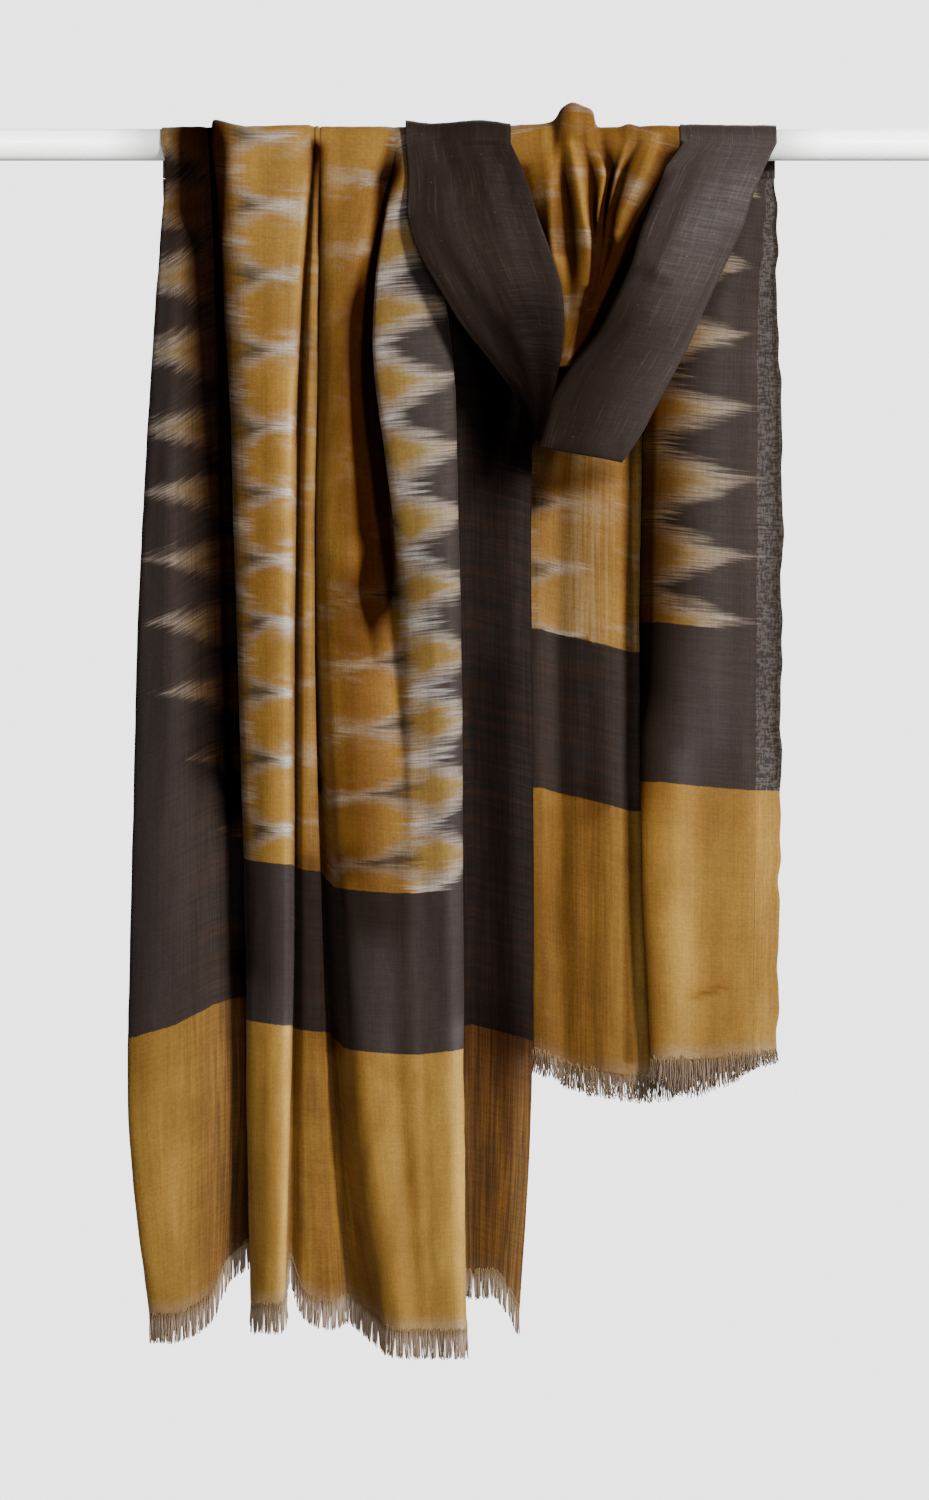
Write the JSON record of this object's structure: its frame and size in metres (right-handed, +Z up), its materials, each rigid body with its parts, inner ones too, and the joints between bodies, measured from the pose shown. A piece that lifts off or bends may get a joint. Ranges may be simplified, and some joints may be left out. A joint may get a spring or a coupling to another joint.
{
  "type": "shawl draped on a rod",
  "caption": "Long fringed shawl with serrated dyed borders, draped and looped over a straight round rod, both ends hanging free.",
  "frame": {"origin": "on the rod's axis, at the middle of its length, where the rod is held", "axes": "+Z up, +X along the rod to the right of someone who faces the shawl's front, -Y towards them"},
  "size_m": [0.8, 0.1065, 0.9812],
  "materials": {
    "rod": "smooth round wooden rod with satin white paint",
    "patterned_cloth": "thin handwoven slubbed cloth, gold with charcoal borders and serrated off-white ikat edges, soft sheen",
    "border_cloth": "the same cloth where it is plain charcoal",
    "fringe": "short loose warp ends, greyish taupe"
  },
  "bodies": {
    "root": {"rod": "rod", "left_end": "patterned_cloth", "back_loop": "patterned_cloth", "swag_flap": "border_cloth", "swag_gathers": "patterned_cloth", "swag_band": "border_cloth", "right_end": "patterned_cloth", "left_fringe": "fringe", "right_fringe": "fringe"}
  },
  "joints": []
}
